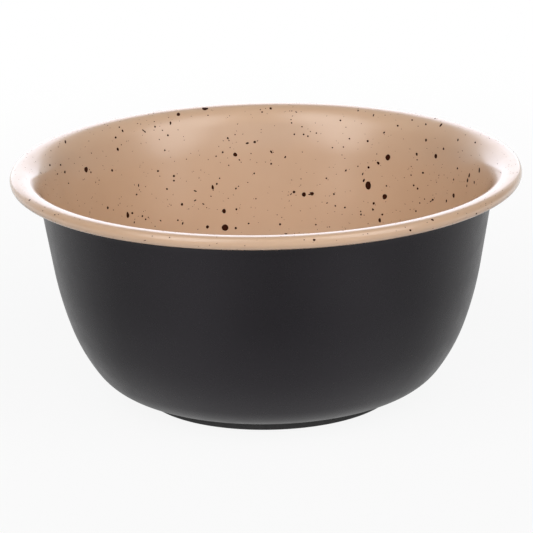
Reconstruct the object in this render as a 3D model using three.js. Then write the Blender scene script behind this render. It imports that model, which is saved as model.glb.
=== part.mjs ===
// A pet's food bowl. An inner bowl and an outer shell are pressed from sheet steel, and the lip of the
// bowl is rolled over the flange of the shell, which holds the two together. A rubber ring is the foot.
// Lengths are millimetres, angles are degrees and +Z is up. The origin is the middle of the standing face.

import * as THREE from 'three';

// Whole bowl
const RIM_DIAMETER = 160;
const HEIGHT = 73.7;

// Sheet steel and its fits
const BOWL_SHEET = 0.5;
const SHELL_SHEET = 0.5;
const HEM_CLEARANCE = 0.3; // between the layers of steel in the rolled rim
const WALL_GAP = 2.5; // air between the two walls
const FLOOR_GAP = 2; // air between the floor and the raised panel of the base

// Rolled rim: a sweep out of the wall, a tighter lip, a narrow flat crown and a roll back under it
const SWEEP_RADIUS = 11.6;
const LIP_RADIUS = 5.9;
const LIP_ANGLE = 40; // how far the lip turns down from the crown before the sweep
const CROWN_WIDTH = 0.65;
const ROLL_RADIUS = 2.05;
const FLANGE_ANGLE = 12; // how far short of the crown the flange of the shell stops

// Outer shell: a straight taper, then three bends down to a flat base, by the wall's lean from upright
const SHELL_TAPER = 9.6;
const UPPER_RADIUS = 110;
const UPPER_LEAN = 19.5; // lean at the foot of the upper bend
const BELLY_RADIUS = 55.4;
const BELLY_LEAN = 36; // lean at the foot of the belly
const HEEL_RADIUS = 18.1;
const PANEL_RISE = 1.5; // the middle of the base is pressed up by this
const PANEL_BEND = 0.8; // inner radius of the bends round the raised panel

// Inner bowl
const FLOOR_FILLET = 18;
const SHOULDER_RADIUS = 50; // gentle bend between the wall and the sweep of the rim
const SHOULDER_LEAN = 24; // lean where the shoulder meets the sweep

// Foot ring
const RING_HEIGHT = 3;
const RING_WIDTH = 8;
const RING_SETBACK = 0.6; // from the edge of the flat base to the outside of the ring
const RING_EDGE = 0.7; // rounding of the ring's lower edges
const COLLAR_WIDTH = 1.6; // collar on the ring that the raised panel centres
const COLLAR_HEIGHT = 1.2;
const BOND_GAP = 0.3; // adhesive between the ring and the shell
const GROOVE_COUNT = 2;
const GROOVE_WIDTH = 1;
const GROOVE_DEPTH = 0.6;

// Facets
const SIDES = 60;
const CHORD_ERROR = 0.08; // how far a facet may lie from the arc that it stands for
const SAME_POINT = 1e-6;

const cosine = (degrees) => Math.cos(THREE.MathUtils.degToRad(degrees));
const sine = (degrees) => Math.sin(THREE.MathUtils.degToRad(degrees));
const arcCosine = (ratio) => THREE.MathUtils.radToDeg(Math.acos(ratio));
const arcSine = (ratio) => THREE.MathUtils.radToDeg(Math.asin(ratio));
const angleOf = (vector) => THREE.MathUtils.radToDeg(Math.atan2(vector.y, vector.x));

// A point of a section: x is the distance from the axis and y is the height.
const point = (radius, height) => new THREE.Vector2(radius, height);

// The point at an angle on a circle, counted from straight outwards towards straight up.
function onCircle(centre, radius, angle) {
  return point(centre.x + radius * cosine(angle), centre.y + radius * sine(angle));
}

// Points along an arc, with as many steps as the chord error asks for.
function arc(centre, radius, from, to) {
  const stepAngle = 2 * arcCosine(1 - CHORD_ERROR / radius);
  const steps = Math.max(1, Math.ceil(Math.abs(to - from) / stepAngle));
  return Array.from({ length: steps + 1 }, (_, i) => onCircle(centre, radius, from + ((to - from) * i) / steps));
}

// One outline from runs of points, without the repeated point where one run meets the next.
function joined(...runs) {
  const points = runs.flat();
  return points.filter((p, i) => i === 0 || p.distanceTo(points[i - 1]) > SAME_POINT);
}

// Rolled rim: both layers of the hem bend about the same centres, so they stay parallel.
const rollCentre = point(RIM_DIAMETER / 2 - ROLL_RADIUS, HEIGHT - ROLL_RADIUS);
const lipCentre = point(rollCentre.x - CROWN_WIDTH, HEIGHT - LIP_RADIUS);
const sweepCentre = onCircle(lipCentre, SWEEP_RADIUS - LIP_RADIUS, LIP_ANGLE - 90);
const hemDepth = BOWL_SHEET + HEM_CLEARANCE + SHELL_SHEET; // from the coated face to the outside of the shell

// Outer shell: heights are worked up from the base and radii are worked down from the rim. The straight
// taper takes up the height that the bends leave.
const baseHeight = RING_HEIGHT + BOND_GAP;
const panelHeight = baseHeight + PANEL_RISE;
const heelLevel = baseHeight + HEEL_RADIUS;
const bellyLevel = heelLevel + (BELLY_RADIUS - HEEL_RADIUS) * sine(BELLY_LEAN);
const upperLevel = bellyLevel + (UPPER_RADIUS - BELLY_RADIUS) * sine(UPPER_LEAN);
const neck = onCircle(sweepCentre, SWEEP_RADIUS - hemDepth, 180 - SHELL_TAPER);
const taperFoot = upperLevel - UPPER_RADIUS * sine(SHELL_TAPER);
const taperRun = ((neck.y - taperFoot) * sine(SHELL_TAPER)) / cosine(SHELL_TAPER);
const upperCentre = point(neck.x - taperRun - UPPER_RADIUS * cosine(SHELL_TAPER), upperLevel);
const bellyCentre = point(upperCentre.x + (UPPER_RADIUS - BELLY_RADIUS) * cosine(UPPER_LEAN), bellyLevel);
const heelCentre = point(bellyCentre.x + (BELLY_RADIUS - HEEL_RADIUS) * cosine(BELLY_LEAN), heelLevel);
const baseRadius = heelCentre.x;

// Foot ring
const ringOuter = baseRadius - RING_SETBACK;
const ringInner = ringOuter - RING_WIDTH;
const collarOuter = ringInner + COLLAR_WIDTH;

// The outline of the outer shell's face that lies the given depth inside its outside face, from the
// axis under the base to the end of the flange.
function shellFace(depth) {
  const panelEdge = collarOuter + BOND_GAP;
  const wideBend = PANEL_BEND + SHELL_SHEET;
  const bendAngle = arcCosine(1 - PANEL_RISE / (PANEL_BEND + wideBend));
  const bendRun = (PANEL_BEND + wideBend) * sine(bendAngle);
  const upperBend = point(panelEdge, panelHeight - PANEL_BEND);
  const lowerBend = point(panelEdge + bendRun, baseHeight + wideBend);
  return joined(
    [point(0, panelHeight + depth)],
    arc(upperBend, PANEL_BEND + depth, 90, 90 - bendAngle),
    arc(lowerBend, wideBend - depth, -90 - bendAngle, -90),
    arc(heelCentre, HEEL_RADIUS - depth, -90, -BELLY_LEAN),
    arc(bellyCentre, BELLY_RADIUS - depth, -BELLY_LEAN, -UPPER_LEAN),
    arc(upperCentre, UPPER_RADIUS - depth, -UPPER_LEAN, -SHELL_TAPER),
    arc(sweepCentre, SWEEP_RADIUS - hemDepth + depth, 180 - SHELL_TAPER, 90 + LIP_ANGLE),
    arc(lipCentre, LIP_RADIUS - hemDepth + depth, 90 + LIP_ANGLE, 90 + FLANGE_ANGLE),
  );
}

// The outline of the inner bowl's face that lies the given depth under its coated inside face, from the
// axis on the floor, up the wall, over the rim and back to the end of the curl. The wall keeps its gap
// along the bends of the shell, and leaves the upper bend straight for the shoulder under the rim.
function bowlFace(depth) {
  const inset = SHELL_SHEET + WALL_GAP + BOWL_SHEET;
  const floorHeight = panelHeight + SHELL_SHEET + FLOOR_GAP + BOWL_SHEET;
  const upperRadius = UPPER_RADIUS - inset;
  const bellyRadius = BELLY_RADIUS - inset;

  const filletLevel = floorHeight + FLOOR_FILLET;
  const filletLean = arcSine((bellyCentre.y - filletLevel) / (bellyRadius - FLOOR_FILLET));
  const filletCentre = point(bellyCentre.x + (bellyRadius - FLOOR_FILLET) * cosine(filletLean), filletLevel);

  const shoulderCentre = onCircle(sweepCentre, SHOULDER_RADIUS - SWEEP_RADIUS, -SHOULDER_LEAN);
  const toShoulder = shoulderCentre.clone().sub(upperCentre);
  const wallLean = arcCosine((SHOULDER_RADIUS + upperRadius) / toShoulder.length()) - angleOf(toShoulder);

  const curlTop = HEIGHT - 2 * ROLL_RADIUS + BOWL_SHEET;
  const curlAngle = arcSine((curlTop - sweepCentre.y) / (SWEEP_RADIUS - hemDepth));
  const curlEnd = sweepCentre.x - (SWEEP_RADIUS - hemDepth) * cosine(curlAngle) + HEM_CLEARANCE;
  return joined(
    [point(0, floorHeight - depth)],
    arc(filletCentre, FLOOR_FILLET + depth, -90, -filletLean),
    arc(bellyCentre, bellyRadius + depth, -filletLean, -UPPER_LEAN),
    arc(upperCentre, upperRadius + depth, -UPPER_LEAN, -wallLean),
    arc(shoulderCentre, SHOULDER_RADIUS - depth, 180 - wallLean, 180 - SHOULDER_LEAN),
    arc(sweepCentre, SWEEP_RADIUS - depth, 180 - SHOULDER_LEAN, 90 + LIP_ANGLE),
    arc(lipCentre, LIP_RADIUS - depth, 90 + LIP_ANGLE, 90),
    arc(rollCentre, ROLL_RADIUS - depth, 90, -90),
    [point(curlEnd, HEIGHT - 2 * ROLL_RADIUS + depth)],
  );
}

// The closed outline of the foot ring: its grooved tread, its outside, and the collar on its inner edge.
function ringOutline() {
  const treadWidth = RING_WIDTH - 2 * RING_EDGE;
  const groovePitch = treadWidth / (GROOVE_COUNT + 1);
  const grooves = Array.from({ length: GROOVE_COUNT }, (_, i) => {
    const middle = ringInner + RING_EDGE + groovePitch * (i + 1);
    const [near, far] = [middle - GROOVE_WIDTH / 2, middle + GROOVE_WIDTH / 2];
    return [point(near, 0), point(near, GROOVE_DEPTH), point(far, GROOVE_DEPTH), point(far, 0)];
  });
  const outline = joined(
    arc(point(ringInner + RING_EDGE, RING_EDGE), RING_EDGE, 180, 270),
    grooves.flat(),
    arc(point(ringOuter - RING_EDGE, RING_EDGE), RING_EDGE, -90, 0),
    [point(ringOuter, RING_HEIGHT), point(collarOuter, RING_HEIGHT)],
    [point(collarOuter, RING_HEIGHT + COLLAR_HEIGHT), point(ringInner, RING_HEIGHT + COLLAR_HEIGHT)],
  );
  return [...outline, outline[0]];
}

// A named piece turned from an outline that runs up on its outside.
function turned(name, outline, material) {
  const geometry = new THREE.LatheGeometry(outline, SIDES);
  geometry.rotateX(Math.PI / 2);
  const piece = new THREE.Mesh(geometry, new THREE.MeshStandardMaterial(material));
  piece.name = name;
  return piece;
}

const bowl = new THREE.Group();
bowl.name = 'pet_bowl';
bowl.add(
  turned('inner_bowl', [...bowlFace(BOWL_SHEET), ...bowlFace(0).reverse()], {
    color: '#c7a386', // warm beige enamel
    roughness: 0.35,
    metalness: 0,
  }),
  turned('outer_shell', [...shellFace(0), ...shellFace(SHELL_SHEET).reverse()], {
    color: '#2a292b', // matt black coat
    roughness: 0.55,
    metalness: 0,
  }),
  turned('foot_ring', ringOutline(), {
    color: '#383839', // black rubber
    roughness: 0.85,
    metalness: 0,
  }),
);

export default bowl;
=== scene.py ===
"""The looks of a pet's food bowl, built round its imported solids.

The three pieces are turned again from the same section with fine facets and get their finishes: a satin
beige coat with a dark brown spatter inside and round the rim, a matt black coat outside and a rubber foot.
Lengths are metres, angles are degrees and +Z is up.
"""

import math
import random
from collections import namedtuple

import bpy
from mathutils import Matrix, Vector
from mathutils.bvhtree import BVHTree


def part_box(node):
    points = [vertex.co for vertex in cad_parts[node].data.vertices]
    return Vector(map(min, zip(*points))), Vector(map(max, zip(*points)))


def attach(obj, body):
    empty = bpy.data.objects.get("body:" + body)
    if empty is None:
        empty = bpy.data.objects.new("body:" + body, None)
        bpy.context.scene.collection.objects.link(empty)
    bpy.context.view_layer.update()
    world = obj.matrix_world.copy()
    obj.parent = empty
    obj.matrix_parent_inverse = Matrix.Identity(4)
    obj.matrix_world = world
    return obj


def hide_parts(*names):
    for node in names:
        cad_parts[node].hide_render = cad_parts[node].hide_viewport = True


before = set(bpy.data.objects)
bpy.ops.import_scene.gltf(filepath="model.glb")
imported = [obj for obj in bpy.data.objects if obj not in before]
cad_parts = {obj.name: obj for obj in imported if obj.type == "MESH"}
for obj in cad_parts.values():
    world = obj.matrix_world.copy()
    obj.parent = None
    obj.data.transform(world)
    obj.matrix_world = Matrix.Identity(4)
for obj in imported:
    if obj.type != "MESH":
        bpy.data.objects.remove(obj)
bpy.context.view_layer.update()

# Whole bowl, from the frame
RIM_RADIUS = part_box("inner_bowl")[1].x
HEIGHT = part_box("inner_bowl")[1].z
BASE_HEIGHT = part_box("outer_shell")[0].z
UNDER_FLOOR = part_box("inner_bowl")[0].z
RING_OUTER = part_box("foot_ring")[1].x
RING_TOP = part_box("foot_ring")[1].z

# Sheet steel and its fits
SHEET = 0.0005
HEM_CLEARANCE = 0.0003
WALL_GAP = 0.0025

# Rolled rim
SWEEP_RADIUS = 0.0116
LIP_RADIUS = 0.0059
LIP_ANGLE = 40
CROWN_WIDTH = 0.00065
ROLL_RADIUS = 0.00205
FLANGE_ANGLE = 12

# Walls, by their lean from upright
SHELL_TAPER = 9.6
UPPER_RADIUS = 0.110
UPPER_LEAN = 19.5
BELLY_RADIUS = 0.0554
BELLY_LEAN = 36
HEEL_RADIUS = 0.0181
FLOOR_FILLET = 0.018
SHOULDER_RADIUS = 0.05
SHOULDER_LEAN = 24

# Base and foot ring
PANEL_RISE = 0.0015
PANEL_BEND = 0.0008
RING_HEIGHT = 0.003
RING_WIDTH = 0.008
RING_EDGE = 0.0007
RING_CORNER = 0.0003
COLLAR_WIDTH = 0.0016
BOND_GAP = 0.0003
GROOVE_COUNT = 2
GROOVE_WIDTH = 0.001
GROOVE_DEPTH = 0.0006

# Facets
SIDES = 288
CHORD_ERROR = 0.000004
LONGEST_STEP = 0.003
SHARP_ANGLE = 35
SAME_POINT = 1e-8

# Camera, fitted to the outline of the bowl in the photo
PHOTO_SIZE = 533
FOCAL_PIXELS = 4000
SENSOR = 36
CAMERA_AT = Vector((0, -1.20487, 0.40736))
CAMERA_AIM = Vector((-0.00031, 0.00135, 0.04038))
CAMERA_ROLL = 1.07

# Spots of the spatter, read one by one: across and down in the photo's pixels, width and height in
# its pixels, and the lean of the height to the right
SEEN_SPOTS = (
    # Left of the bowl
    (86.1, 169.6, 4.0, 6.6, -8), (90.9, 172.3, 1.6, 2.0, 0), (127.8, 215.0, 3.2, 6.6, -6),
    (132.3, 213.1, 2.2, 2.6, 0), (112.1, 170.4, 2.2, 3.0, 0), (117.8, 149.2, 2.6, 3.6, -15),
    (115.7, 137.5, 2.2, 2.5, 0), (122.6, 130.8, 1.7, 3.2, -25), (119.3, 127.2, 1.5, 1.8, 0),
    (65.4, 141.8, 1.8, 4.0, -10), (49.9, 165.1, 1.9, 2.5, 0), (60.6, 164.9, 1.8, 2.2, 0),
    (64.9, 172.0, 2.0, 3.0, 0), (57.5, 174.0, 1.4, 1.8, 0), (68.5, 183.3, 1.3, 1.6, 0),
    (107.8, 207.8, 2.3, 3.0, 0), (134.3, 222.4, 1.2, 2.6, 0), (142.4, 216.1, 1.9, 2.2, 0),
    (145.7, 219.3, 1.8, 2.0, 0), (148.4, 217.3, 1.3, 1.4, 0), (138.6, 185.4, 1.2, 3.6, 0),
    (136.6, 194.5, 1.8, 2.0, 0), (158.0, 171.0, 2.3, 2.3, 0), (173.9, 176.0, 2.5, 2.6, 0),
    (173.9, 180.6, 2.1, 2.1, 0), (167.0, 189.0, 2.2, 2.2, 0), (164.8, 150.3, 1.8, 2.0, 0),
    (155.0, 126.7, 2.0, 2.0, 0), (162.4, 130.3, 1.4, 1.4, 0), (170.5, 123.1, 2.0, 3.8, 0),
    (167.9, 135.3, 2.2, 2.2, 0), (178.4, 114.3, 4.2, 3.4, 0), (204.9, 108.6, 7.2, 3.0, 0),
    (144.7, 131.5, 1.4, 3.6, -50), (143.0, 130.2, 1.2, 2.4, -40), (182.0, 204.4, 2.8, 2.9, 0),
    (177.9, 220.2, 1.9, 2.0, 0), (182.7, 223.3, 1.6, 3.4, 15), (160.6, 220.6, 1.2, 2.4, -40),
    (195.3, 191.0, 1.5, 3.8, -70), (195.1, 200.4, 1.4, 3.0, 55), (203.3, 204.0, 1.3, 2.8, -50),
    # Middle
    (212.7, 187.3, 2.6, 5.2, -8), (216.8, 183.9, 2.0, 2.6, 20), (219.6, 178.3, 1.5, 1.6, 0),
    (224.0, 211.1, 4.5, 4.8, 0), (236.4, 209.3, 2.2, 2.4, 0), (225.1, 227.6, 7.2, 7.4, -20),
    (207.5, 226.9, 3.5, 3.6, 0), (235.8, 228.1, 2.6, 2.8, 0), (248.5, 223.5, 1.8, 1.8, 0),
    (235.9, 188.5, 1.8, 2.2, 0), (238.5, 186.3, 1.3, 1.4, 0), (222.7, 152.3, 2.2, 2.2, 0),
    (216.1, 156.3, 1.6, 1.7, 0), (235.2, 154.6, 4.5, 4.6, 0), (239.4, 159.9, 1.4, 2.0, -30),
    (228.7, 165.3, 1.4, 1.5, 0), (254.2, 173.4, 1.9, 2.0, 0), (247.3, 143.2, 2.0, 3.8, 80),
    (254.7, 142.0, 2.8, 2.9, 0), (257.5, 140.8, 1.0, 1.8, 60), (227.7, 138.1, 2.0, 2.2, 0),
    (229.0, 140.6, 1.4, 1.4, 0), (235.1, 134.6, 1.4, 1.4, 0), (208.0, 115.3, 1.4, 1.4, 0),
    (260.4, 109.6, 1.4, 1.2, 0), (262.1, 112.0, 1.9, 1.8, 0), (270.7, 108.4, 3.0, 2.4, 0),
    (255.9, 198.7, 1.4, 1.5, 0), (271.3, 151.9, 1.8, 4.2, -35), (285.2, 157.1, 1.7, 3.0, 35),
    (271.2, 163.8, 2.2, 2.2, 0), (280.1, 224.3, 2.4, 2.5, 0), (285.9, 233.8, 3.4, 1.2, 0),
    (294.0, 192.0, 3.0, 3.0, 0), (291.0, 194.1, 1.2, 2.6, 50), (303.9, 194.5, 4.9, 4.8, 0),
    (312.0, 193.7, 4.2, 4.0, 0), (309.6, 194.4, 1.6, 3.0, 80), (315.9, 224.6, 1.8, 1.8, 0),
    (329.5, 226.9, 1.3, 1.3, 0), (314.2, 239.9, 3.0, 2.6, 0), (291.6, 122.9, 1.7, 1.7, 0),
    (302.0, 126.7, 1.6, 1.6, 0), (294.3, 134.3, 1.9, 1.9, 0), (303.6, 134.4, 2.0, 2.0, 0),
    (307.9, 136.2, 1.9, 1.9, 0), (310.4, 131.5, 1.2, 1.2, 0), (316.4, 133.1, 1.7, 1.7, 0),
    (296.2, 112.0, 1.2, 2.2, -45), (326.4, 178.3, 1.9, 1.9, 0), (333.9, 194.1, 2.0, 2.1, 0),
    (335.3, 205.9, 1.8, 1.8, 0), (344.9, 207.5, 2.0, 2.1, 0), (327.1, 203.0, 1.2, 2.2, 70),
    (345.9, 170.4, 2.0, 2.2, 0), (332.4, 147.6, 1.6, 1.6, 0), (343.4, 147.0, 1.6, 1.6, 0),
    (349.4, 138.7, 1.8, 1.8, 0), (340.4, 120.4, 2.0, 2.0, 0), (358.1, 110.6, 1.7, 1.6, 0),
    # Right of the bowl
    (367.7, 141.1, 2.4, 2.5, 0), (373.5, 115.2, 1.2, 3.2, 20), (357.9, 166.3, 1.5, 1.6, 0),
    (368.6, 167.4, 2.6, 2.8, 0), (378.2, 163.1, 2.7, 3.8, -35), (387.9, 157.4, 5.4, 6.9, -8),
    (362.7, 173.9, 1.4, 3.2, 25), (363.8, 180.4, 2.0, 4.2, 25), (368.2, 185.5, 6.2, 9.2, -4),
    (384.7, 196.7, 4.9, 6.2, 0), (386.4, 185.9, 1.6, 2.0, 0), (373.7, 203.4, 2.7, 2.8, 0),
    (372.9, 209.5, 2.4, 2.6, 0), (382.3, 214.5, 2.1, 2.3, 0), (379.7, 220.3, 3.0, 4.8, 0),
    (360.7, 211.4, 1.5, 1.8, 0), (361.0, 214.5, 1.9, 2.2, 0), (384.0, 132.6, 1.9, 2.4, 40),
    (397.7, 125.7, 2.2, 2.3, 0), (412.1, 120.0, 1.8, 1.8, 0), (425.8, 124.3, 1.8, 2.3, 0),
    (440.9, 125.0, 1.9, 4.6, 38), (435.1, 118.5, 1.0, 2.2, 70), (426.0, 140.1, 2.2, 3.4, 10),
    (416.7, 154.2, 2.2, 3.6, 0), (417.1, 159.8, 1.3, 1.5, 0), (435.8, 156.2, 3.2, 5.2, 0),
    (443.5, 148.8, 2.0, 2.6, 0), (457.9, 139.9, 1.6, 3.2, 20), (475.2, 142.5, 1.7, 2.2, 0),
    (457.4, 168.4, 1.6, 2.4, 0), (479.3, 170.3, 1.9, 5.6, 3), (469.2, 175.4, 1.7, 5.2, 10),
    (467.5, 180.4, 1.8, 4.6, 6), (466.8, 185.9, 1.0, 3.0, 8), (474.2, 182.4, 1.3, 3.6, 0),
    (422.9, 172.8, 2.3, 2.3, 0), (411.1, 175.1, 1.5, 1.7, 0), (413.7, 185.4, 1.9, 2.3, 0),
    (417.6, 188.6, 2.0, 2.4, 0), (453.6, 195.5, 2.4, 5.2, 0), (453.6, 179.5, 1.3, 2.4, 0),
    (446.4, 201.0, 1.5, 3.4, 10), (432.7, 199.8, 2.2, 2.4, 0), (430.8, 201.4, 1.2, 2.6, 60),
    (419.8, 203.0, 1.4, 1.8, 0), (424.5, 199.1, 1.2, 1.6, 0), (415.9, 211.1, 1.7, 2.1, 0),
    (410.4, 230.3, 2.2, 2.2, 0), (432.5, 219.8, 2.0, 3.4, -60), (476.4, 213.7, 1.2, 2.0, 40),
    # Round the near and left side of the rim
    (29.6, 200.0, 1.1, 2.8, 60), (54.8, 214.7, 1.3, 1.3, 0), (169.6, 237.4, 1.4, 1.4, 0),
)

# Spatter
SPOT_SIDES = 16
SPOT_HEIGHT = 0.00005
SPOT_ROOT = 0.00006
SPOT_EDGE = 0.00001
SPOT_FLATNESS = 3
SPOT_SHOULDER = 0.72
SPOT_WAVES = (2, 3)
SPOT_RAGGED = 0.09
EDGE_ON_PIXELS = 400
PROBE_STEP = 0.0005
UNSEEN_TRIES = 330
MIST_COUNT = 2800
MIST_SIDES = 8
MIST_LEAST = 0.00018
MIST_MOST = 0.0005
MIST_SKEW = 2
SPATTER_SEED = 20

# Finishes. Tone, roughness and relief go by noises, each with its grains to a metre and its detail.
NOISE_LOW = 0.3
NOISE_HIGH = 0.7
Noise = namedtuple("Noise", "grains detail")
Relief = namedtuple("Relief", "noise strength depth")

# Clear top of the beige coat: its roughness changes from soft to sharp towards where it is seen edge on
TOP_SOFT_TO = 0.5
TOP_SHARP_FROM = 0.8
TOP_SOFT = 0.25
TOP_SHARP = 0.08

# Floor, which keeps a share of its shading near the bowl, so that the shadow stays
WHITE = (1, 1, 1, 1)
FLOOR_RADIUS = 3.0
FLOOR_SIDES = 96
FLOOR_TONE = (0.75, 0.75, 0.75, 1)
SHADOW_SHARE = 0.1
SHADOW_NEAR = 0.12
SHADOW_FAR = 0.45

# Floor in reflections, with painted shadow: dim near the bowl except in front, by the cosine of the angle
# from straight behind, as a painted shadow beside and behind it; dim by its foot, as a painted shadow under
# it; and dim in a patch in front of it, as painted shade
BESIDE_FRONT = -0.95
BESIDE_SIDE = -0.3
BESIDE_SHADOW_TONE = 0.62
BESIDE_NEAR = 0.12
BESIDE_FAR = 0.26
FOOT_NEAR = 0.035
FOOT_FAR = 0.06
FOOT_SHADOW_TONE = 0.55
SHADE_PATCH_AT = (0.01, -0.14, 0)
SHADE_PATCH_REACH = 0.09
SHADE_PATCH_TONE = 0.62

# Room: its fill light, and in reflections a white backdrop behind the bowl, by elevation and by the cosine
# of the angle from its bearing, and a ceiling, by elevation
FILL_STRENGTH = 0.17
ROOM_STRENGTH = 0.4
BACKDROP_BEARING = 190
BACKDROP_EDGE = 0.5
BACKDROP_FULL = 0.8
BACKDROP_TOP = 25
BACKDROP_END = 50
CEILING_FOOT = 15
CEILING_FULL = 45
CEILING_STRENGTH = 0.55

# Softboxes: bearing from the camera's side towards the right, elevation, distance, width, height, radiance,
# whether the bowl mirrors them, and their tint
NEUTRAL = (1, 1, 1)
COOL = (0.86, 0.86, 1)
LIGHT_AIM = Vector((0, 0, 0.05))
SOFTBOXES = {
    "front_left": (-44, 43, 6.0, 3.7, 7.5, 1.9, True, NEUTRAL),
    "front_right": (53, 40, 6.0, 3.7, 7.0, 1.83, True, NEUTRAL),
    "front": (0, 27, 6.0, 10, 2.8, 2.7, False, NEUTRAL),
    "behind": (185, 15, 3.2, 3.7, 2.2, 1.17, True, COOL),
}


def sine(angle):
    """The sine of an angle in degrees."""
    return math.sin(math.radians(angle))


def cosine(angle):
    """The cosine of an angle in degrees."""
    return math.cos(math.radians(angle))


def on_circle(centre, radius, angle):
    """The point at an angle on a circle, counted from straight outwards towards straight up."""
    return centre + radius * Vector((cosine(angle), sine(angle)))


def arc(centre, radius, start, end):
    """Points along an arc, with as many steps as the chord error asks for."""
    step = 2 * math.degrees(math.acos(1 - CHORD_ERROR / radius))
    steps = max(1, math.ceil(abs(end - start) / step))
    return [on_circle(centre, radius, start + (end - start) * i / steps) for i in range(steps + 1)]


def joined(*runs):
    """One outline from runs of points, with no point twice and long straight stretches divided."""
    points = []
    for point in (Vector(p) for run in runs for p in run):
        if points:
            last = points[-1]
            length = (point - last).length
            if length < SAME_POINT:
                continue
            parts = math.ceil(length / LONGEST_STEP)
            points += [last.lerp(point, i / parts) for i in range(1, parts)]
        points.append(point)
    return points


# Centres of the section's arcs. Both layers of the rolled rim bend about the same ones.
hem_depth = SHEET + HEM_CLEARANCE + SHEET
roll_centre = Vector((RIM_RADIUS - ROLL_RADIUS, HEIGHT - ROLL_RADIUS))
lip_centre = Vector((roll_centre.x - CROWN_WIDTH, HEIGHT - LIP_RADIUS))
sweep_centre = on_circle(lip_centre, SWEEP_RADIUS - LIP_RADIUS, LIP_ANGLE - 90)
heel_level = BASE_HEIGHT + HEEL_RADIUS
belly_level = heel_level + (BELLY_RADIUS - HEEL_RADIUS) * sine(BELLY_LEAN)
upper_level = belly_level + (UPPER_RADIUS - BELLY_RADIUS) * sine(UPPER_LEAN)
neck = on_circle(sweep_centre, SWEEP_RADIUS - hem_depth, 180 - SHELL_TAPER)
taper_foot = upper_level - UPPER_RADIUS * sine(SHELL_TAPER)
taper_run = (neck.y - taper_foot) * math.tan(math.radians(SHELL_TAPER))
upper_inset = UPPER_RADIUS * cosine(SHELL_TAPER)
upper_centre = Vector((neck.x - taper_run - upper_inset, upper_level))
belly_centre = on_circle(upper_centre, UPPER_RADIUS - BELLY_RADIUS, -UPPER_LEAN)
heel_centre = on_circle(belly_centre, BELLY_RADIUS - HEEL_RADIUS, -BELLY_LEAN)
ring_inner = RING_OUTER - RING_WIDTH
collar_outer = ring_inner + COLLAR_WIDTH
panel_edge = collar_outer + BOND_GAP


def shell_face(depth):
    """The outer shell's face at a depth under its outside, from the axis to the flange."""
    panel = BASE_HEIGHT + PANEL_RISE
    wide_bend = PANEL_BEND + SHEET
    bend = math.degrees(math.acos(1 - PANEL_RISE / (PANEL_BEND + wide_bend)))
    bend_run = (PANEL_BEND + wide_bend) * sine(bend)
    upper_bend = Vector((panel_edge, panel - PANEL_BEND))
    lower_bend = Vector((panel_edge + bend_run, BASE_HEIGHT + wide_bend))
    return joined(
        [(0, panel + depth)],
        arc(upper_bend, PANEL_BEND + depth, 90, 90 - bend),
        arc(lower_bend, wide_bend - depth, -90 - bend, -90),
        arc(heel_centre, HEEL_RADIUS - depth, -90, -BELLY_LEAN),
        arc(belly_centre, BELLY_RADIUS - depth, -BELLY_LEAN, -UPPER_LEAN),
        arc(upper_centre, UPPER_RADIUS - depth, -UPPER_LEAN, -SHELL_TAPER),
        arc(sweep_centre, SWEEP_RADIUS - hem_depth + depth, 180 - SHELL_TAPER, 90 + LIP_ANGLE),
        arc(lip_centre, LIP_RADIUS - hem_depth + depth, 90 + LIP_ANGLE, 90 + FLANGE_ANGLE),
    )


def bowl_face(depth):
    """The inner bowl's face at a depth under its coat, from the axis to the end of the curl."""
    inset = SHEET + WALL_GAP + SHEET
    floor = UNDER_FLOOR + SHEET
    upper_radius = UPPER_RADIUS - inset
    belly_radius = BELLY_RADIUS - inset
    fillet_level = floor + FLOOR_FILLET
    fillet_lean = math.degrees(math.asin((belly_level - fillet_level) / (belly_radius - FLOOR_FILLET)))
    fillet_centre = on_circle(belly_centre, belly_radius - FLOOR_FILLET, -fillet_lean)
    shoulder_centre = on_circle(sweep_centre, SHOULDER_RADIUS - SWEEP_RADIUS, -SHOULDER_LEAN)
    to_shoulder = shoulder_centre - upper_centre
    tangent = math.degrees(math.acos((SHOULDER_RADIUS + upper_radius) / to_shoulder.length))
    wall_lean = tangent - math.degrees(math.atan2(to_shoulder.y, to_shoulder.x))
    curl_level = HEIGHT - 2 * ROLL_RADIUS
    hem_radius = SWEEP_RADIUS - hem_depth
    hem_reach = math.sqrt(hem_radius**2 - (curl_level + SHEET - sweep_centre.y) ** 2)
    return joined(
        [(0, floor - depth)],
        arc(fillet_centre, FLOOR_FILLET + depth, -90, -fillet_lean),
        arc(belly_centre, belly_radius + depth, -fillet_lean, -UPPER_LEAN),
        arc(upper_centre, upper_radius + depth, -UPPER_LEAN, -wall_lean),
        arc(shoulder_centre, SHOULDER_RADIUS - depth, 180 - wall_lean, 180 - SHOULDER_LEAN),
        arc(sweep_centre, SWEEP_RADIUS - depth, 180 - SHOULDER_LEAN, 90 + LIP_ANGLE),
        arc(lip_centre, LIP_RADIUS - depth, 90 + LIP_ANGLE, 90),
        arc(roll_centre, ROLL_RADIUS - depth, 90, -90),
        [(sweep_centre.x - hem_reach + HEM_CLEARANCE, curl_level + depth)],
    )


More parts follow.
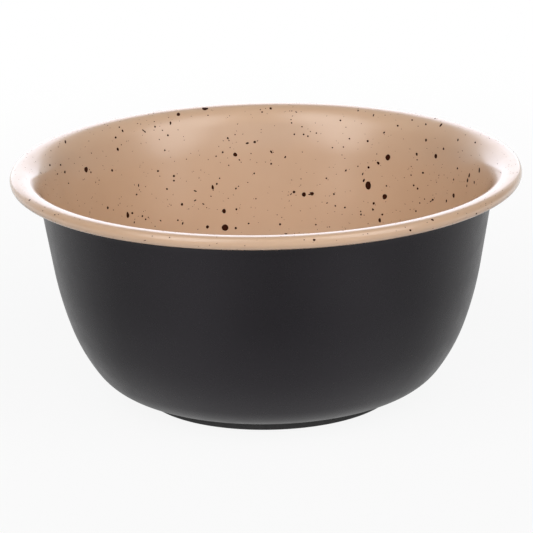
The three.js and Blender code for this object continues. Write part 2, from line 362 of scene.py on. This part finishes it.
def ring_outline():
    """The foot ring's closed outline: its grooved tread, its outside and the collar on its inner edge."""
    pitch = (RING_WIDTH - 2 * RING_EDGE) / (GROOVE_COUNT + 1)
    grooves = []
    for i in range(GROOVE_COUNT):
        near = ring_inner + RING_EDGE + pitch * (i + 1) - GROOVE_WIDTH / 2
        far = near + GROOVE_WIDTH
        grooves += [(near, 0), (near, GROOVE_DEPTH), (far, GROOVE_DEPTH), (far, 0)]
    return joined(
        arc(Vector((ring_inner + RING_EDGE, RING_EDGE)), RING_EDGE, 180, 270),
        grooves,
        arc(Vector((RING_OUTER - RING_EDGE, RING_EDGE)), RING_EDGE, -90, 0),
        arc(Vector((RING_OUTER - RING_CORNER, RING_HEIGHT - RING_CORNER)), RING_CORNER, 0, 90),
        [(collar_outer, RING_HEIGHT)],
        arc(Vector((collar_outer - RING_CORNER, RING_TOP - RING_CORNER)), RING_CORNER, 0, 90),
        [(ring_inner, RING_TOP)],
    )


def as_object(name, vertices, faces, material):
    """A smooth-shaded mesh object that keeps its real corners sharp."""
    mesh = bpy.data.meshes.new(name)
    mesh.from_pydata(vertices, [], faces)
    mesh.shade_smooth()
    mesh.set_sharp_from_angle(angle=math.radians(SHARP_ANGLE))
    mesh.materials.append(material)
    piece = bpy.data.objects.new(name, mesh)
    bpy.context.scene.collection.objects.link(piece)
    return piece


def turned(name, outline, material):
    """A closed piece turned about the axis from an outline that runs up on its outside.

    The outline starts and ends on the axis, or closes on itself.
    """
    vertices = []
    rings = []
    for point in outline:
        first = len(vertices)
        if point.x < SAME_POINT:
            vertices.append((0, 0, point.y))
            rings.append([first] * SIDES)
            continue
        for side in range(SIDES):
            turn = 2 * math.pi * side / SIDES
            vertices.append((point.x * math.cos(turn), point.x * math.sin(turn), point.y))
        rings.append(list(range(first, first + SIDES)))
    on_axis = outline[0].x < SAME_POINT
    pairs = zip(rings, rings[1:]) if on_axis else zip(rings, rings[1:] + rings[:1])
    faces = []
    for low, high in pairs:
        for side in range(SIDES):
            after = (side + 1) % SIDES
            corners = (low[side], low[after], high[after], high[side])
            faces.append(tuple(dict.fromkeys(corners)))
    return as_object(name, vertices, faces, material)


def new_material(name):
    """A node material: itself, its tree and its main shader."""
    material = bpy.data.materials.new(name)
    material.use_nodes = True
    return material, material.node_tree, material.node_tree.nodes["Principled BSDF"]


def noise(tree, kind):
    """A noise value from 0 to 1 that stays with the object."""
    place = tree.nodes.new("ShaderNodeTexCoord")
    texture = tree.nodes.new("ShaderNodeTexNoise")
    texture.inputs["Scale"].default_value = kind.grains
    texture.inputs["Detail"].default_value = kind.detail
    tree.links.new(place.outputs["Object"], texture.inputs["Vector"])
    return texture.outputs["Fac"]


def stretched(tree, value, start, end, low, high, smooth=False):
    """A value's range from start to end, stretched over low to high and held there beyond it."""
    stretch = tree.nodes.new("ShaderNodeMapRange")
    stretch.interpolation_type = "SMOOTHSTEP" if smooth else "LINEAR"
    stretch.inputs["From Min"].default_value = start
    stretch.inputs["From Max"].default_value = end
    stretch.inputs["To Min"].default_value = low
    stretch.inputs["To Max"].default_value = high
    tree.links.new(value, stretch.inputs["Value"])
    return stretch.outputs["Result"]


def eased(tree, value, start, end, low=0.0, high=1.0):
    """A smooth step of a value, from low at its start to high at its end."""
    return stretched(tree, value, start, end, low, high, smooth=True)


def tones(tree, value, dark, light):
    """A colour between two, by a noise value."""
    ramp = tree.nodes.new("ShaderNodeValToRGB")
    ramp.color_ramp.elements[0].position = NOISE_LOW
    ramp.color_ramp.elements[0].color = (*dark, 1)
    ramp.color_ramp.elements[1].position = NOISE_HIGH
    ramp.color_ramp.elements[1].color = (*light, 1)
    tree.links.new(value, ramp.inputs["Fac"])
    return ramp.outputs["Color"]


def bumps(tree, relief, under):
    """The normal of a relief, over another relief if there is one."""
    bump = tree.nodes.new("ShaderNodeBump")
    bump.inputs["Strength"].default_value = relief.strength
    bump.inputs["Distance"].default_value = relief.depth
    tree.links.new(noise(tree, relief.noise), bump.inputs["Height"])
    if under:
        tree.links.new(under, bump.inputs["Normal"])
    return bump.outputs["Normal"]


def combined(tree, operation, one, other):
    """Two values put together."""
    node = tree.nodes.new("ShaderNodeMath")
    node.operation = operation
    tree.links.new(one, node.inputs[0])
    tree.links.new(other, node.inputs[1])
    return node.outputs["Value"]


def measured(tree, operation, vector, other=None):
    """One value from a vector, or from a vector and a fixed one."""
    node = tree.nodes.new("ShaderNodeVectorMath")
    node.operation = operation
    tree.links.new(vector, node.inputs[0])
    if other is not None:
        node.inputs[1].default_value = other
    return node.outputs["Value"]


def along(tree, vector, axis):
    """A vector's size along X, Y or Z."""
    parts = tree.nodes.new("ShaderNodeSeparateXYZ")
    tree.links.new(vector, parts.inputs["Vector"])
    return parts.outputs[axis]


def mixed(tree, output, share, plain, shown):
    """Ends a tree with a mix of two shaders, by the share of the second."""
    mix = tree.nodes.new("ShaderNodeMixShader")
    tree.links.new(share, mix.inputs["Fac"])
    tree.links.new(plain, mix.inputs[1])
    tree.links.new(shown, mix.inputs[2])
    tree.links.new(mix.outputs["Shader"], tree.nodes[output].inputs["Surface"])


def finished(name, dark, light, clouds, roughness, patches, reliefs):
    """A material with a cloudy tone, a gloss in patches and reliefs over each other."""
    material, tree, shader = new_material(name)
    tone = tones(tree, noise(tree, clouds), dark, light)
    tree.links.new(tone, shader.inputs["Base Color"])
    gloss = stretched(tree, noise(tree, patches), NOISE_LOW, NOISE_HIGH, *roughness)
    tree.links.new(gloss, shader.inputs["Roughness"])
    surface = None
    for relief in reliefs:
        surface = bumps(tree, relief, surface)
    tree.links.new(surface, shader.inputs["Normal"])
    return material, tree, shader


def beige_enamel():
    """Satin beige coat with the faint ripple of sprayed paint, and a clear top that is glossier edge on."""
    material, tree, shader = finished(
        "beige_enamel",
        dark=(0.567, 0.362, 0.226),
        light=(0.603, 0.39, 0.247),
        clouds=Noise(45, 4),
        roughness=(0.3, 0.38),
        patches=Noise(160, 3),
        reliefs=(Relief(Noise(110, 1), 0.1, 0.0004), Relief(Noise(1100, 2), 0.05, 0.0001)),
    )
    shader.inputs["Coat Weight"].default_value = 0.9
    shader.inputs["Coat IOR"].default_value = 1.7
    facing = tree.nodes.new("ShaderNodeLayerWeight").outputs["Facing"]
    gloss = eased(tree, facing, TOP_SOFT_TO, TOP_SHARP_FROM, TOP_SOFT, TOP_SHARP)
    tree.links.new(gloss, shader.inputs["Coat Roughness"])
    return material


def black_coat():
    """Matt black coat with the fine grain of baked powder."""
    material, _, shader = finished(
        "black_coat",
        dark=(0.0036, 0.0034, 0.0042),
        light=(0.0048, 0.0045, 0.0055),
        clouds=Noise(70, 4),
        roughness=(0.25, 0.31),
        patches=Noise(220, 3),
        reliefs=(Relief(Noise(120, 1), 0.08, 0.0004), Relief(Noise(1700, 3), 0.08, 0.0001)),
    )
    shader.inputs["Specular IOR Level"].default_value = 0.35
    shader.inputs["Specular Tint"].default_value = (0.97, 0.9, 1, 1)
    return material


def black_rubber():
    """Dull black rubber with a moulded grain and a little dust."""
    return finished(
        "black_rubber",
        dark=(0.028, 0.0276, 0.0284),
        light=(0.037, 0.0364, 0.037),
        clouds=Noise(240, 5),
        roughness=(0.42, 0.55),
        patches=Noise(400, 3),
        reliefs=(Relief(Noise(2400, 3), 0.15, 0.0001),),
    )[0]


def brown_spatter():
    """Dark brown paint of the spatter, from nearly black to a thin brown."""
    material, _, shader = finished(
        "brown_spatter",
        dark=(0.022, 0.0042, 0.001),
        light=(0.04, 0.0095, 0.003),
        clouds=Noise(260, 2),
        roughness=(0.4, 0.5),
        patches=Noise(500, 2),
        reliefs=(Relief(Noise(900, 2), 0.1, 0.0001),),
    )
    shader.inputs["Specular IOR Level"].default_value = 0.05
    return material


def camera_axes():
    """The camera's directions to the right, up and forward, with its roll."""
    forward = (CAMERA_AIM - CAMERA_AT).normalized()
    right = forward.cross(Vector((0, 0, 1))).normalized()
    up = right.cross(forward)
    rolled_right = cosine(CAMERA_ROLL) * right - sine(CAMERA_ROLL) * up
    rolled_up = sine(CAMERA_ROLL) * right + cosine(CAMERA_ROLL) * up
    return rolled_right, rolled_up, forward


def add_camera():
    """The camera at the photo's place and angle."""
    data = bpy.data.cameras.new("camera")
    data.sensor_width = SENSOR
    data.lens = SENSOR * FOCAL_PIXELS / PHOTO_SIZE
    right, up, forward = camera_axes()
    camera = bpy.data.objects.new("camera", data)
    turn = Matrix((right, up, -forward)).transposed().to_4x4()
    camera.matrix_world = Matrix.Translation(CAMERA_AT) @ turn
    bpy.context.scene.collection.objects.link(camera)
    bpy.context.scene.camera = camera


def pixel_of(point):
    """Where a point shows in the photo's frame."""
    right, up, forward = camera_axes()
    seen = point - CAMERA_AT
    scale = FOCAL_PIXELS / seen.dot(forward)
    return Vector((PHOTO_SIZE / 2 + scale * seen.dot(right), PHOTO_SIZE / 2 - scale * seen.dot(up)))


def ray_through(across, down):
    """The direction from the camera through a pixel of the photo."""
    right, up, forward = camera_axes()
    ray = FOCAL_PIXELS * forward + (across - PHOTO_SIZE / 2) * right - (down - PHOTO_SIZE / 2) * up
    return ray.normalized()


class Coat:
    """The coated face of the inner bowl, by length along its section and by turn about the axis."""

    def __init__(self, outline):
        self.points = outline
        self.lengths = [0.0]
        for near, far in zip(outline, outline[1:]):
            self.lengths.append(self.lengths[-1] + (far - near).length)

    def section(self, length):
        """The section's point at a length from the axis, and its direction there."""
        length = min(max(length, 0.0), self.lengths[-1])
        step = next(i for i, end in enumerate(self.lengths[1:]) if length <= end)
        near, far = self.points[step], self.points[step + 1]
        share = (length - self.lengths[step]) / (self.lengths[step + 1] - self.lengths[step])
        return near.lerp(far, share), (far - near).normalized()

    def at(self, length, turn, height=0.0):
        """The point over the coat at a length, a turn in radians and a height."""
        point, run = self.section(length)
        radius = point.x - height * run.y
        return Vector((radius * math.cos(turn), radius * math.sin(turn), point.y + height * run.x))

    def address(self, place):
        """The length and turn of a place on the coat."""
        flat = Vector((math.hypot(place.x, place.y), place.z))

        def nearest(step):
            near, far = self.points[step], self.points[step + 1]
            share = (flat - near).dot(far - near) / (far - near).length_squared
            share = min(max(share, 0.0), 1.0)
            gap = (near.lerp(far, share) - flat).length
            return gap, self.lengths[step] + share * (far - near).length

        length = min(nearest(step) for step in range(len(self.points) - 1))[1]
        return length, math.atan2(place.y, place.x)

    def anywhere(self, draws):
        """A length and turn drawn evenly over the coat's area."""
        while True:
            length = draws.uniform(0, self.lengths[-1])
            if draws.uniform(0, RIM_RADIUS) < self.section(length)[0].x:
                return length, draws.uniform(-math.pi, math.pi)


def from_pixels(coat, length, turn):
    """What turns steps in the photo, to the right and up, into steps round the bowl and up its section.

    Where the coat is seen nearly edge on, the steps on it are held short.
    """
    here = pixel_of(coat.at(length, turn))
    aside = pixel_of(coat.at(length, turn - PROBE_STEP / coat.section(length)[0].x)) - here
    rise = pixel_of(coat.at(length + PROBE_STEP, turn)) - here
    shown = Matrix(((aside.x, rise.x), (-aside.y, -rise.y))) * (1 / PROBE_STEP)
    square = shown.transposed() @ shown + Matrix.Identity(2) * EDGE_ON_PIXELS**2
    return square.inverted() @ shown.transposed()


def leaning(wide, tall, lean):
    """The half axes of an oval, to the right and up, with its height leaning to the right."""
    across = Vector((cosine(lean), -sine(lean)))
    upward = Vector((sine(lean), cosine(lean)))
    return wide / 2 * across, tall / 2 * upward


def add_spot(vertices, faces, coat, draws, place, axes, sides):
    """Adds one low drop of paint, a closed lens with a ragged edge that follows the coat under it."""
    length, turn = place
    across, upward = axes
    radius = max(coat.section(length)[0].x, across.length)
    phases = [draws.uniform(0, 2 * math.pi) for _ in SPOT_WAVES]
    ragged = [draws.uniform(0, SPOT_RAGGED) for _ in SPOT_WAVES]

    def put(share, angle, height):
        waves = zip(SPOT_WAVES, phases, ragged)
        edge = 1 + sum(depth * math.cos(count * angle + phase) for count, phase, depth in waves)
        aside, rise = share * edge * (math.cos(angle) * across + math.sin(angle) * upward)
        vertices.append(coat.at(length + rise, turn - aside / radius, height))

    first = len(vertices)
    height = min(SPOT_HEIGHT, across.length / SPOT_FLATNESS, upward.length / SPOT_FLATNESS)
    for i in range(sides):
        put(1, 2 * math.pi * i / sides, -SPOT_EDGE)
    for i in range(sides):
        put(SPOT_SHOULDER, 2 * math.pi * i / sides, SPOT_SHOULDER * height)
    put(0, 0, height)
    put(0, 0, -SPOT_ROOT)
    top, root = len(vertices) - 2, len(vertices) - 1
    for i in range(sides):
        after = (i + 1) % sides
        edge, edge_after = first + i, first + after
        shoulder, shoulder_after = edge + sides, edge_after + sides
        faces.append((edge_after, edge, shoulder, shoulder_after))
        faces.append((shoulder_after, shoulder, top))
        faces.append((edge, edge_after, root))


def spatter(bowl, coat):
    """The dark drops on the coat: those in the photo, like ones where it doesn't reach, and a fine mist."""
    draws = random.Random(SPATTER_SEED)
    corners = [vertex.co for vertex in bowl.data.vertices]
    tree = BVHTree.FromPolygons(corners, [face.vertices for face in bowl.data.polygons])
    vertices, faces = [], []
    sizes = []
    for across, down, wide, tall, lean in SEEN_SPOTS:
        hit = tree.ray_cast(CAMERA_AT, ray_through(across, down))[0]
        if hit is None:
            continue
        place = coat.address(hit)
        on_coat = from_pixels(coat, *place)
        axes = [on_coat @ axis for axis in leaning(wide, tall, lean)]
        sizes.append([2 * axis.length for axis in axes])
        add_spot(vertices, faces, coat, draws, place, axes, SPOT_SIDES)
    for _ in range(UNSEEN_TRIES):
        place = coat.anywhere(draws)
        point = coat.at(*place)
        axes = leaning(*draws.choice(sizes), draws.uniform(0, 180))
        shown = tree.ray_cast(CAMERA_AT, (point - CAMERA_AT).normalized())[0]
        if (shown - point).length > SHEET:
            add_spot(vertices, faces, coat, draws, place, axes, SPOT_SIDES)
    for _ in range(MIST_COUNT):
        place = coat.anywhere(draws)
        shares = [draws.random() ** MIST_SKEW for _ in range(2)]
        wide, tall = (MIST_LEAST + (MIST_MOST - MIST_LEAST) * share for share in shares)
        axes = leaning(wide, tall, draws.uniform(0, 180))
        add_spot(vertices, faces, coat, draws, place, axes, MIST_SIDES)
    return as_object("spatter", vertices, faces, brown_spatter())


def shown_ray(tree):
    """1 for a camera, glossy or transmission ray, which sees the white ground, and 0 for others."""
    path = tree.nodes.new("ShaderNodeLightPath").outputs
    seen = combined(tree, "MAXIMUM", path["Is Camera Ray"], path["Is Transmission Ray"])
    return combined(tree, "MAXIMUM", seen, path["Is Glossy Ray"])


def white_to_camera(tree, mirrored):
    """A strength of 1 for the camera, and a given one for reflections."""
    camera = tree.nodes.new("ShaderNodeLightPath").outputs["Is Camera Ray"]
    return combined(tree, "MAXIMUM", camera, mirrored)


def mirrored_floor_with_painted_shade(tree, place, reach):
    """The floor's strength in reflections, by place and by distance from the bowl's axis: a painted shadow
    beside, behind and under the bowl, and painted shade in a patch in front of it.
    """
    backward = combined(tree, "DIVIDE", along(tree, place, "Y"), reach)
    # Painted shadow beside and behind the bowl, seen only in reflections
    beside = eased(tree, backward, BESIDE_FRONT, BESIDE_SIDE, 1, BESIDE_SHADOW_TONE)
    around = combined(tree, "MAXIMUM", eased(tree, reach, BESIDE_NEAR, BESIDE_FAR), beside)
    # Painted shadow under the bowl, round its foot, seen only in reflections
    foot = eased(tree, reach, FOOT_NEAR, FOOT_FAR, FOOT_SHADOW_TONE)
    # Painted shade in a patch on the floor in front of the bowl, seen only in reflections
    patch = eased(tree, measured(tree, "DISTANCE", place, SHADE_PATCH_AT), 0, SHADE_PATCH_REACH, SHADE_PATCH_TONE)
    return combined(tree, "MULTIPLY", combined(tree, "MULTIPLY", around, foot), patch)


def add_floor():
    """A wide pale floor, white to the camera but for the bowl's shadow, and with painted shade where it is
    mirrored.
    """
    material, tree, shader = new_material("floor")
    shader.inputs["Base Color"].default_value = FLOOR_TONE
    shader.inputs["Roughness"].default_value = 1
    shader.inputs["Specular IOR Level"].default_value = 0
    place = tree.nodes.new("ShaderNodeTexCoord").outputs["Object"]
    reach = measured(tree, "LENGTH", place)
    white = tree.nodes.new("ShaderNodeEmission")
    white.inputs["Color"].default_value = WHITE
    strength = white_to_camera(tree, mirrored_floor_with_painted_shade(tree, place, reach))
    tree.links.new(strength, white.inputs["Strength"])
    open_floor = eased(tree, reach, SHADOW_NEAR, SHADOW_FAR, 1 - SHADOW_SHARE)
    share = combined(tree, "MULTIPLY", open_floor, shown_ray(tree))
    mixed(tree, "Material Output", share, shader.outputs["BSDF"], white.outputs["Emission"])
    turns = [2 * math.pi * i / FLOOR_SIDES for i in range(FLOOR_SIDES)]
    ring = [(FLOOR_RADIUS * math.cos(t), FLOOR_RADIUS * math.sin(t), 0) for t in turns]
    floor = as_object("floor", ring, [tuple(range(FLOOR_SIDES))], material)


def heading(bearing, elevation):
    """The direction at a bearing from the camera's side towards the right, and an elevation."""
    level = cosine(elevation)
    return Vector((level * sine(bearing), -level * cosine(bearing), sine(elevation)))


def mirrored_room(tree):
    """The room's strength in reflections: its backdrop, its ceiling and the rest."""
    place = tree.nodes.new("ShaderNodeTexCoord").outputs["Generated"]
    rise = along(tree, place, "Z")
    toward = measured(tree, "DOT_PRODUCT", place, heading(BACKDROP_BEARING, 0))
    behind = eased(tree, toward, BACKDROP_EDGE, BACKDROP_FULL)
    low = eased(tree, rise, sine(BACKDROP_END), sine(BACKDROP_TOP))
    backdrop = eased(tree, combined(tree, "MULTIPLY", low, behind), 0, 1, ROOM_STRENGTH)
    ceiling = eased(tree, rise, sine(CEILING_FOOT), sine(CEILING_FULL), 0, CEILING_STRENGTH)
    return combined(tree, "MAXIMUM", backdrop, ceiling)


def add_world():
    """A fill light for the bowl, white to the camera and a room in reflections."""
    world = bpy.data.worlds.new("studio")
    world.use_nodes = True
    tree = world.node_tree
    fill = tree.nodes["Background"]
    fill.inputs["Color"].default_value = WHITE
    fill.inputs["Strength"].default_value = FILL_STRENGTH
    shown = tree.nodes.new("ShaderNodeBackground")
    shown.inputs["Color"].default_value = WHITE
    tree.links.new(white_to_camera(tree, mirrored_room(tree)), shown.inputs["Strength"])
    share = shown_ray(tree)
    mixed(tree, "World Output", share, fill.outputs["Background"], shown.outputs["Background"])
    bpy.context.scene.world = world


def add_softbox(name, bearing, elevation, distance, width, height, radiance, mirrored, tint):
    """A large oval light of even radiance that faces the bowl."""
    data = bpy.data.lights.new(name, "AREA")
    data.shape = "ELLIPSE"
    data.color = tint
    data.size = width
    data.size_y = height
    data.energy = radiance * math.pi * (math.pi / 4 * width * height)
    away = heading(bearing, elevation)
    light = bpy.data.objects.new(name, data)
    light.location = LIGHT_AIM + distance * away
    light.rotation_euler = away.to_track_quat("Z", "Y").to_euler()
    light.visible_camera = False
    light.visible_glossy = mirrored
    bpy.context.scene.collection.objects.link(light)


add_camera()

coat_outline = bowl_face(0)
inner_bowl = turned("beige_bowl", bowl_face(SHEET) + coat_outline[::-1], beige_enamel())
outer_shell = turned("black_shell", shell_face(0) + shell_face(SHEET)[::-1], black_coat())
foot_ring = turned("rubber_foot", ring_outline(), black_rubber())
drops = spatter(inner_bowl, Coat(coat_outline))

for piece, node, slot in (
    (inner_bowl, "inner_bowl", "beige_enamel"),
    (outer_shell, "outer_shell", "black_coat"),
    (foot_ring, "foot_ring", "black_rubber"),
):
    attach(piece, "root")
    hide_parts(node)
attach(drops, "root")

add_floor()
add_world()
for name, settings in SOFTBOXES.items():
    add_softbox(name, *settings)
bpy.context.scene.view_settings.view_transform = "Standard"
